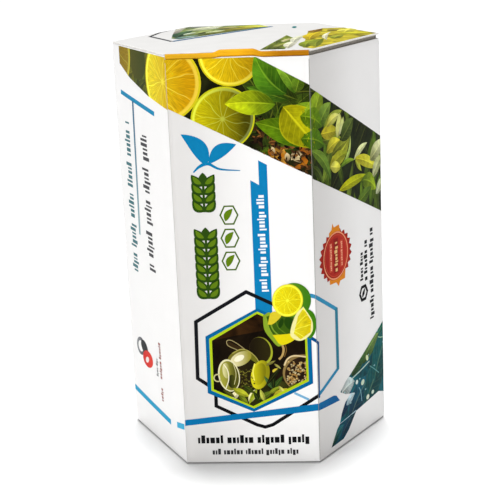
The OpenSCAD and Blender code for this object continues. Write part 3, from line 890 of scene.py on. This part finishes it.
# Cut limes: green rinds behind, yellow faces in front.
lime_rinds = [
    disc((41.9, 63.2), (6.1, 6.4), 0.12, "#6d9c1e", "#3f7c18"),
    patch(curve([(30.6, 57.6), (30.9, 52.4), (33.2, 48.6), (35.8, 45.8), (38, 48), (36, 53),
                 (33.4, 58.6), (30.6, 57.6)]), 0.12, "#8aa62a"),
    patch(curve([(31.8, 57.2), (33.4, 51.4), (37, 47.6), (42, 49.6), (43.6, 55.2), (39.4, 57.6),
                 (35.6, 58.2), (31.8, 57.2)]), 0.123, "#3a5c10"),
    stroke(curve([(33.0, 55.6), (34.2, 52), (37, 49.2)]), 0.5, 0.125, "#7a9a2a"),
    stroke(curve([(35, 56.4), (36, 53), (38.6, 50.6)]), 0.4, 0.125, "#557a1c"),
    disc((40.2, 54.4), (1.8, 2.6), 0.125, "#22440a", lean=30),
    disc((37, 54.6), (0.8, 1.9), 0.125, "#1f3f0a", lean=-20),
    patch(curve([(32.2, 54.2), (34.2, 54.4), (37.2, 57.4), (35.6, 58.9), (33.4, 58.4), (32.2, 54.2)]),
          0.126, "#ddc92c"),
    patch(curve([(45.2, 60.6), (48.6, 58.4), (49.7, 54.4), (48.9, 50.4), (47, 48.6), (45, 52),
                 (45.2, 60.6)]), 0.126, "#3f7f10"),
]
lay("lime_rinds", lime_rinds + [
    patch(curve([(33.8, 50.2), (36.8, 46.4), (41.6, 48.2), (42.4, 50.8), (38.4, 50.4), (33.8, 50.2)]),
          0.129, "#e6d50f"),
    disc((39.6, 63.1), (5.5, 6.1), 0.132, "#eee23a", lean=-12),
    patch(curve([(45.2, 60.7), (42.2, 57.4), (40.2, 50.2), (43.8, 47.8), (47.8, 50.6), (48.2, 55.2),
                 (45.2, 60.7)]), 0.14, "#f2eca0")],
    offset_ink)
lay("lime_faces", [disc((39.6, 63.1), (5.1, 5.7), 0.136, "#f3e416", "#e2cf0c", lean=-12)], citrus_print)
lay("lime_wedge", [disc((41.0, 51.8), (8.6, 9.6), 0.144, "#f4e83a", "#dcc80c")], citrus_print,
    [[(45.2, 60.2), (43.2, 57.2), (41.4, 50.6), (43.9, 48.3), (47.5, 51), (47.9, 55.2)]])


# ---------------------------------------------------------------------------------------------
# Right wall's print: a red seal on orange ribbons, lines of small type read upwards, and a
# slanting teal picture of wet leaves that runs on round the next wall.
# ---------------------------------------------------------------------------------------------
def seal_edge(centre, radius, teeth, depth):
    """Saw-toothed circle: its radius falls by depth and rises again teeth times on the way round."""
    angle = np.linspace(0, 2 * math.pi, 4 * teeth, endpoint=False)
    away = radius - depth * np.abs(((angle * teeth / (2 * math.pi)) % 1) * 2 - 1)
    return np.column_stack([centre[0] + away * np.cos(angle), centre[1] + away * np.sin(angle)])


SEAL = (64.6, 75.8)
seal = [
    patch([(60.0, 80), (60.2, 85.2), (61.9, 86.0), (62.6, 88.3), (63.6, 86.6), (67.2, 86.9),
           (68.6, 82)], FIELD, "#df861a"),
    patch([(59.4, 72), (60.0, 65.9), (64.4, 65.7), (66.1, 63.8), (67.4, 65.6), (70.8, 65.7),
           (71.6, 72)], FIELD, "#e0861c"),
    patch(seal_edge(SEAL, 11.6, 22, 1.5) * [1, 0.86] + [0, SEAL[1] * 0.14], 0.026, "#a32318"),
    disc(SEAL, (9.4, 9.0), 0.04, "#8f1a12", "#b82a1c"),
    disc(SEAL, (8.7, 8.9), 0.044, "#ef9a72", inner=0.94),
    disc(SEAL, (7.7, 7.9), 0.046, "#c4402a"),
    disc(SEAL, (7.3, 7.5), 0.048, "#a8231b", "#b92c20"),
    patch([(60.0, 70.4), (62.0, 70.4), (62.0, 81.2), (60.0, 81.2)], 0.052, "#c64a34"),
    patch([(63.1, 69.3), (66.2, 69.3), (66.2, 82.3), (63.1, 82.3)], 0.052, "#8d1712"),
    patch([(67.6, 70.8), (69.6, 70.8), (69.6, 80.8), (67.6, 80.8)], 0.052, "#c64a34"),
    type_lines((65.6, 69.8), 12, 2.0, "#f0c081", 0.056, turn=90, seed=0.8, weight=0.5),
    type_lines((61.6, 71), 10, 1.1, "#f2a484", 0.056, turn=90, seed=0.2, weight=0.5),
    type_lines((69.2, 71.2), 9.4, 1.1, "#f2a484", 0.056, turn=90, seed=0.6, weight=0.5),
]
right_type = [
    type_lines((84.4, 61.2), 11.6, 2.3, "#2a2a2c", FIELD, turn=90, seed=0.35),
    type_lines((87.8, 60.4), 16.4, 2.7, "#1e1e20", FIELD, turn=90, seed=0.77, weight=0.46),
    type_lines((92.4, 44.0), 36.4, 3.0, "#2e2e31", FIELD, turn=90, seed=0.05, weight=0.4),
    stroke(hexagon((84.6, 56), 2.9, first=60), 1.2, FIELD, "#131315", closed=True),
    leaf((83.5, 54.4), (85.7, 57.8), 1.7, 0.032, "#131315"),
]
lay("right_wall_decoration", seal + right_type, offset_ink)

# The picture is a slanting field with a notched left end and a tail; each outline here is convex.
WET_LEAVES = [[(95.4, 12.5), (100, 10.9), (124, 5), (150, 7), (150, 30), (128, 47.5), (100, 40.3),
               (95.4, 38)],
              [(73.4, 10.5), (77.4, 10.7), (95.4, 12.5), (95.4, 38), (84, 32.3), (73.4, 27)],
              [(65.6, 22.4), (69.8, 20.2), (73.4, 19.3), (73.4, 27), (70, 25.6)],
              [(64.9, 10), (73.4, 10.5), (73.4, 19.3), (69, 17), (66.4, 13.6)],
              [(58.4, 2.7), (67.6, 2.9), (71.6, 5.2), (77.4, 10.7), (64.9, 9.9), (62.9, 8.6)]]
lay("wet_leaf_picture", [patch(outline, FIELD, "#02505a") for outline in WET_LEAVES[:4]]
    + [patch(WET_LEAVES[4], FIELD, "#023848")], picture_depth)
drops = [
    stroke([(64.8, 9.9), (77.4, 10.9)], 0.35, 0.04, "#bfe0ea"),
    stroke([(74.6, 24.9), (81, 25.9), (88.2, 27.4)], 0.5, 0.06, "#bcd6c8"),
    stroke(curve([(79.6, 19.6), (81.0, 17.4), (81.8, 13.2)]), 0.45, 0.06, "#74a8b8"),
    stroke(curve([(88.4, 25.4), (92, 23), (96, 20)]), 0.35, 0.06, "#5f9c9c"),
    stroke(curve([(95.6, 35), (98.4, 34), (104, 33.6)]), 0.4, 0.06, "#a6cfae"),
    disc((78.1, 22.2), (0.9, 0.9), 0.064, "#dfeee6"),
    disc((82.7, 20.6), (1.3, 1.1), 0.064, "#c9ddc4", lean=20),
    disc((86.6, 13.2), (1.2, 1.0), 0.064, "#dfe9d2"),
    disc((90.6, 13.9), (1.0, 0.8), 0.064, "#cfe0cc"),
    disc((86.4, 29.4), (0.9, 1.3), 0.064, "#d9e6b4", lean=30),
    disc((108, 27), (1.2, 1.0), 0.064, "#dcebe2"),
    disc((117, 18), (0.9, 0.9), 0.064, "#dcebe2"),
    disc((131, 31), (1.3, 1.1), 0.064, "#cfe0cc"),
]
for i in range(26):
    place = (66 + uneven(i) * 80, 8 + uneven(i * 0.381966, 1.7) * 30)
    drops.append(disc(place, (0.3 + 0.3 * uneven(i, 0.27), 0.3), 0.062, "#8fc0c4"))
lay("wet_leaf_drops", drops, offset_ink, WET_LEAVES[:4])
# Each row is base, tip, width, ink at the base, ink at the tip.
wet_leaves = [
    ((66, 12), (74, 24), 9, "#023458", "#005078"), ((72, 8), (90, 22), 11, "#022c4a", "#005868"),
    ((84, 10), (104, 26), 13, "#005458", "#003e42"),
    ((66.5, 21.6), (76.4, 23.2), 7, "#c9d2d0", "#a9bcbc"),
    ((70, 15.6), (76.4, 18.4), 3.4, "#9cbecb", "#c6d8dc"), ((88, 30), (104, 40), 8, "#065a3e", "#005e54"),
    ((92, 18), (108, 38), 13, "#005a5c", "#004a4c"), ((74, 26), (87, 32.4), 6.5, "#24482a", "#3c6a34"),
    ((83, 28), (96, 36.6), 6.5, "#2f5a24", "#6f8f4a"), ((104, 10), (126, 30), 13, "#0c4a58", "#0f6a70"),
    ((108, 40), (126, 22), 9, "#3f6a2c", "#6f9440"), ((124, 12), (148, 22), 10, "#0f5c62", "#123f66"),
    ((124, 44), (142, 26), 9, "#0f6a64", "#5c7f2c"), ((59, 3.4), (68, 8.6), 4.6, "#0a3a2e", "#14606c"),
    ((66, 4), (76, 10.4), 3.8, "#0b3d5c", "#0a3440"),
]
lay("wet_leaf_shapes", overlapping(wet_leaves, 0.036, 0.0014, bend=0.08), leaf_print, WET_LEAVES)


# ---------------------------------------------------------------------------------------------
# Left wall's print: a blue cross-bar over a rule, two columns of thin type read upwards, and
# small round marks with lines of fine type beside them.
# ---------------------------------------------------------------------------------------------
left_print = [
    stroke([(-44.2, 133.9), (-12.2, 129.8)], 1.7, FIELD, "#0a8ab5"),
    stroke([(-32.4, 131.8), (-32.9, 104), (-33.4, 81)], 1.5, 0.034, "#1c5f86", "#8fb0b4"),
    type_lines((-37.6, 65.2), 59, 5.4, "#44767c", FIELD, turn=90, seed=0.15, weight=0.2, space=0.11),
    type_lines((-20.8, 69.2), 55, 6.0, "#47474a", FIELD, turn=90, seed=0.63, weight=0.17, space=0.11),
    disc((-40.0, 34.6), (4.4, 3.6), FIELD, "#8d9093", "#3a3d42", lean=20, inner=0.62),
    disc((-36.2, 35.2), (3.6, 2.6), 0.034, "#26282c", lean=-20),
    disc((-33.2, 31.2), (5.2, 3.4), 0.038, "#d3241c", "#e0382a", lean=8),
    disc((-33.8, 30.8), (1.9, 1.1), 0.042, "#f4e9e6", lean=30),
    type_lines((-23.2, 27.2), 8, 1.8, "#6a6a6c", FIELD, turn=90, seed=0.4),
    type_lines((-19.6, 27.2), 14.6, 2.0, "#9a5a52", FIELD, turn=90, seed=0.9),
    type_lines((-19.6, 18.2), 6.6, 2.0, "#9a5a52", FIELD, turn=90, seed=0.22),
]
lay("left_wall_decoration", left_print, offset_ink)


# ---------------------------------------------------------------------------------------------
# Print on the three walls at the back: the picture band tapers off, the blue bar runs on, and a
# ruled table, blocks of small type and leaf emblems fill the white.
# ---------------------------------------------------------------------------------------------
BACK_BAND = [(100, 113.5), (100, 84.4), (139, 66.5), (146.5, 74), (128, 97)]
lay("back_band_greenery", [patch(BACK_BAND, FIELD, "#26331a")], picture_depth)
back_leaves = []
for i in range(12):
    base = (102 + 3.7 * i, 90 - 1.5 * i + 9 * uneven(i))
    tip = (107 + 3.9 * i, 104 - 2.6 * i - 11 * uneven(i, 0.381966))
    back_leaves.append((base, tip, 3.2 + 3 * uneven(i, 0.27),
                        ("#5f7f1c", "#a9b030", "#3c5a1a", "#c9cc2a")[i % 4],
                        ("#7fa018", "#d8da80", "#55702a", "#7c8a1c")[i % 4]))
lay("back_band_leaves", overlapping(back_leaves, 0.04, 0.002, bend=0.1), leaf_print, [BACK_BAND])
back_print = [patch([(-150, 14.2), (-100, 11.6), (-50, 13.4), (-50, 15.6), (-100, 13.8), (-150, 16.4)],
                    FIELD, "#1a94c4")]
for i, v in enumerate(np.linspace(52, 104, 9)):
    back_print.append(stroke([(-141, v), (-109, v)], 0.4 if 0 < i < 8 else 0.9, FIELD, BRANCH_GREEN))
    if i < 8:
        back_print.append(type_lines((-139.6, v + 2.2), 15, 1.8, "#2a2a2c", FIELD, seed=0.13 * i))
        back_print.append(type_lines((-116.5, v + 2.2), 6, 1.8, "#2a2a2c", FIELD, seed=0.29 * i))
back_print += [stroke([(-141, 51.6), (-141, 104.4)], 0.9, 0.032, BRANCH_GREEN),
               stroke([(-109, 51.6), (-109, 104.4)], 0.9, 0.032, BRANCH_GREEN),
               stroke([(-119, 52), (-119, 104)], 0.4, 0.032, BRANCH_GREEN),
               patch([(-141, 106.4), (-109, 106.4), (-109, 112.6), (-141, 112.6)], FIELD, LEAF_GREEN),
               type_lines((-138.6, 108.2), 26, 2.4, "#f6f8f0", 0.034, seed=0.5, weight=0.46)]
for i in range(30):
    left = -138 + 0.86 * i
    right = left + 0.3 + 0.4 * uneven(i)
    back_print.append(patch([(left, 24), (right, 24), (right, 41), (left, 41)], FIELD, "#17181a"))
for i in range(12):
    back_print.append(type_lines((-93, 120 - 4.4 * i), 34 - 9 * uneven(i), 1.9, "#3a3a3c", FIELD,
                                 seed=0.17 * i))
for i, v in enumerate((24, 40, 56)):
    for u in (-86, -64):
        back_print.append(stroke(hexagon((u, v), 6.2, first=90), 0.9, FIELD,
                                 ("#15161a", RULE_BLUE, LEAF_GREEN)[i], closed=True))
        back_print.append(leaf((u - 2.6, v - 3.2), (u + 2.6, v + 3.4), 3.8, 0.032,
                               (LEAF_GREEN, BRANCH_GREEN, RULE_BLUE)[i], bend=0.1))
lay("back_walls_print", back_print, offset_ink)


# ---------------------------------------------------------------------------------------------
# Lid's print: a six-sided picture of leaves ruled in blue and black, and a picture of pale and
# yellow leaves that runs up to the right-hand edges.
# ---------------------------------------------------------------------------------------------
def on_lid(x, y, h):
    """Puts flat print on the lid: its height follows the lid's low swell, which falls off with the
    square of the distance to the rim, measured in six-sided rings."""
    turns = np.arange(6)[:, None] * 2 * TILT
    ring = np.max(x * np.sin(turns) - y * np.cos(turns), axis=0) / (WALL * math.cos(TILT) - INSET - 1.0)
    return np.stack([x, y, LID_TOP + lid_swell(ring, x) + h], axis=-1)


LID_SPACE = hexagon((0, 0), WALL - 1.3, first=0)
LID_PICTURE = [(-28.6, 14), (-27.6, 2.4), (-24.4, -1.2), (7.2, 32.4), (3, 41), (-30, 41)]
CITRUS_PICTURE = [(15.6, 1), (8.2, -40.6), (26, -41.4), (49, -1), (44, 9), (37.5, 21), (29, 20)]
lid_lines = tuple(np.arange(-48, 50, LATTICE))
lay("lid_picture_grounds",
    [patch(LID_PICTURE, FIELD, "#7c8c50"),
     patch([(15.6, 0.5), (7.8, -38.6), (16.4, -38.6), (18.8, -10)], FIELD, "#76862c"),
     patch([(22.4, -36), (27, -40), (49, -1), (44, 9), (37.5, 21), (28.6, 20.4), (23.2, 8)], FIELD,
           "#c2b42c")],
    picture_depth, [LID_SPACE], onto=on_lid, lines=lid_lines)
# Each row is base, tip, width, ink at the base, ink at the tip.
lid_leaves = [
    ((-29, 10), (-26, 38), 5, "#9a8f88", "#c9c8b4"), ((-26, 4), (-22, 28), 6, "#24483a", "#4c7048"),
    ((-21, 5), (-14, 28), 6, "#3c5a30", "#b8c476"), ((-16, 9), (-4, 28), 6, "#5c6a28", "#a3a43c"),
    ((-19, 14), (-12, 22), 3, "#2b3413", "#4c5a20"), ((-25, 26), (-12, 33), 6, "#c4d29c", "#eef2d8"),
    ((-13, 30), (-2, 36), 4, "#a89a50", "#d6cc8c"), ((-26, 36), (-8, 41), 7, "#8a928c", "#c0c4b0"),
    ((-22, 29), (-11, 39), 7, "#dfe6b4", "#f2f4d8"), ((-11, 22), (4, 32), 6, "#8a8430", "#b8ac3c"),
    ((-6, 36), (8, 31.6), 7, "#dcdc3c", "#f4f26a"), ((-26, -1), (-18, 9), 5, "#3c6a64", "#a8c8b8"),
    ((-16, 16), (-9, 24), 4, "#c8d890", "#e8eec0"), ((-24, 12), (-20, 20), 3, "#b8ccb0", "#dfe8cc"),
    ((10, -38), (14, -16), 4.6, "#5d6c1c", "#8f9c3a"),
    ((12.6, -24), (15.6, 0), 4.2, "#5c6c24", "#a3b050"),
    ((13, -37), (17, -22), 3.6, "#46501a", "#b8bc5c"), ((15, -20), (18, -9), 2.4, "#dcd8a0", "#c2bc7c"),
    ((17.4, -37), (20.8, -14), 4, "#e4e2c0", "#f0f0dc"),
    ((18.8, -22), (22.6, 0), 3.4, "#eeeeda", "#dfe2b4"),
    ((23.4, -36), (26.4, -14), 5.4, "#6f7f1e", "#a3b02c"),
    ((27, -35), (29.4, -12), 4.6, "#9aa42c", "#6f7f1e"), ((24.6, -16), (28, 9), 6, "#c9ac14", "#e4cc22"),
    ((25, 6), (28.4, 19), 5, "#a8801c", "#7c5814"), ((30.6, -17), (31.8, 7), 2, "#eeeab8", "#f6f4dc"),
    ((31.4, 10), (36.4, 17), 6, "#7a6a24", "#b8a848"), ((33, -14), (36.4, -2), 4.6, "#8f9a2a", "#b8b83a"),
    ((34, 0), (47, 3), 7, "#d6d42c", "#efe63a"), ((37, 4), (40.6, 19), 7, "#e6dc3a", "#f4ee74"),
]
lay("lid_picture_leaves", overlapping(lid_leaves, 0.036, 0.0015, bend=0.06), leaf_print,
    [LID_PICTURE, CITRUS_PICTURE], onto=on_lid, lines=lid_lines)
lay("lid_rules",
    [stroke([(-26.2, -7), (8.6, 32)], 1.9, 0.07, "#2b6f9c"),
     stroke([(-26.4, -7), (-37, 11.6)], 1.3, 0.072, "#5a5c60"),
     stroke([(-37, 10.6), (-34.6, 24), (-28.6, 37)], 1.1, 0.07, "#232427"),
     disc((17.6, 26.8), (0.9, 3.2), 0.07, "#2f8a8c")],
    offset_ink, [LID_SPACE], onto=on_lid, lines=lid_lines)


# ---------------------------------------------------------------------------------------------
# Creases: a grey hairline runs up each upright crease, partly the coating and ink cracked along the
# score where the sheet is bent and partly painted shade in the crease; its grey differs from crease
# to crease.
# ---------------------------------------------------------------------------------------------
lay("crease_cracks_and_painted_shade", [stroke([(u, 1.2), (u, WALL_TOP - 1.0)], width, 0.15, ink) for u, width, ink in (
    (49.7, 0.3, "#8b8984"), (0.3, 0.18, "#cfceca"), (-50.3, 0.2, "#c4c3bf"), (99.7, 0.3, "#8b8984"),
    (-99.8, 0.3, "#a3a19c"), (149.7, 0.3, "#a3a19c"))], offset_ink)


# ---------------------------------------------------------------------------------------------
# Studio: plain white floor, a soft light from the left, a weaker one from the right, a broad one
# overhead, and the camera.
# ---------------------------------------------------------------------------------------------
floor_white = bpy.data.materials.new("white_paper_sweep")
floor_white.use_nodes = True
shader = floor_white.node_tree.nodes["Principled BSDF"]
shader.inputs["Base Color"].default_value = linear("#fafafa")
shader.inputs["Roughness"].default_value = 0.9
mesh = bpy.data.meshes.new("floor")
mesh.from_pydata([(-3, -3, 0), (3, -3, 0), (3, 3, 0), (-3, 3, 0)], [], [(0, 1, 2, 3)])
mesh.materials.append(floor_white)
floor = bpy.data.objects.new("floor", mesh)
bpy.context.scene.collection.objects.link(floor)

world = bpy.data.worlds.new("studio")
bpy.context.scene.world = world
world.use_nodes = True
world.node_tree.nodes["Background"].inputs["Color"].default_value = (1, 1, 1, 1)
world.node_tree.nodes["Background"].inputs["Strength"].default_value = 0.2

CENTRE = Vector((0, 0, LID_TOP / 2000))           # m, middle of the carton


def soft_light(name, azimuth, elevation, distance, size, power):
    """Square area light that looks at the carton's middle; azimuth 0 is in front, 90 to the right."""
    a, e = math.radians(azimuth), math.radians(elevation)
    place = CENTRE + distance * Vector((math.sin(a) * math.cos(e), -math.cos(a) * math.cos(e), math.sin(e)))
    data = bpy.data.lights.new(name, "AREA")
    data.size, data.energy = size, power
    lamp = bpy.data.objects.new(name, data)
    lamp.location = place
    lamp.rotation_euler = (CENTRE - place).to_track_quat("-Z", "Y").to_euler()
    bpy.context.scene.collection.objects.link(lamp)


soft_light("key", -30, 9, 1.3, 0.8, 10.2)
soft_light("fill", 62, 9, 1.5, 1.0, 5.4)

overhead = bpy.data.lights.new("overhead", "SUN")
overhead.energy, overhead.angle = 3.1, math.radians(12)
lamp = bpy.data.objects.new("overhead", overhead)
lamp.location = (0, 0, 1)
lamp.rotation_euler = (math.radians(-6), 0, 0)
bpy.context.scene.collection.objects.link(lamp)

# The camera looks from a little right of the front and above it, and leans slightly. It aims at a
# point 1.402 wall widths up and 0.025 to the left of the carton's axis.
DISTANCE = 10.51                                  # from that point, in wall widths
AZIMUTH, ELEVATION, ROLL = (math.radians(a) for a in (4.21, 15.56, -2.34))
back = Vector((math.sin(AZIMUTH) * math.cos(ELEVATION), -math.cos(AZIMUTH) * math.cos(ELEVATION),
               math.sin(ELEVATION)))
level = Vector((math.cos(AZIMUTH), math.sin(AZIMUTH), 0))
upward = back.cross(level)
right = math.cos(ROLL) * level + math.sin(ROLL) * upward
upright = math.cos(ROLL) * upward - math.sin(ROLL) * level
target = (level * -0.025 + Vector((0, 0, 1.402))) * WALL / 1000
camera = bpy.data.objects.new("camera", bpy.data.cameras.new("camera"))
camera.data.lens = 97.8
camera.data.clip_start = 0.01
camera.matrix_world = Matrix.Translation(target + back * DISTANCE * WALL / 1000) @ Matrix(
    (right, upright, back)).transposed().to_4x4()
bpy.context.scene.collection.objects.link(camera)
bpy.context.scene.camera = camera
bpy.context.scene.view_settings.view_transform = "Standard"
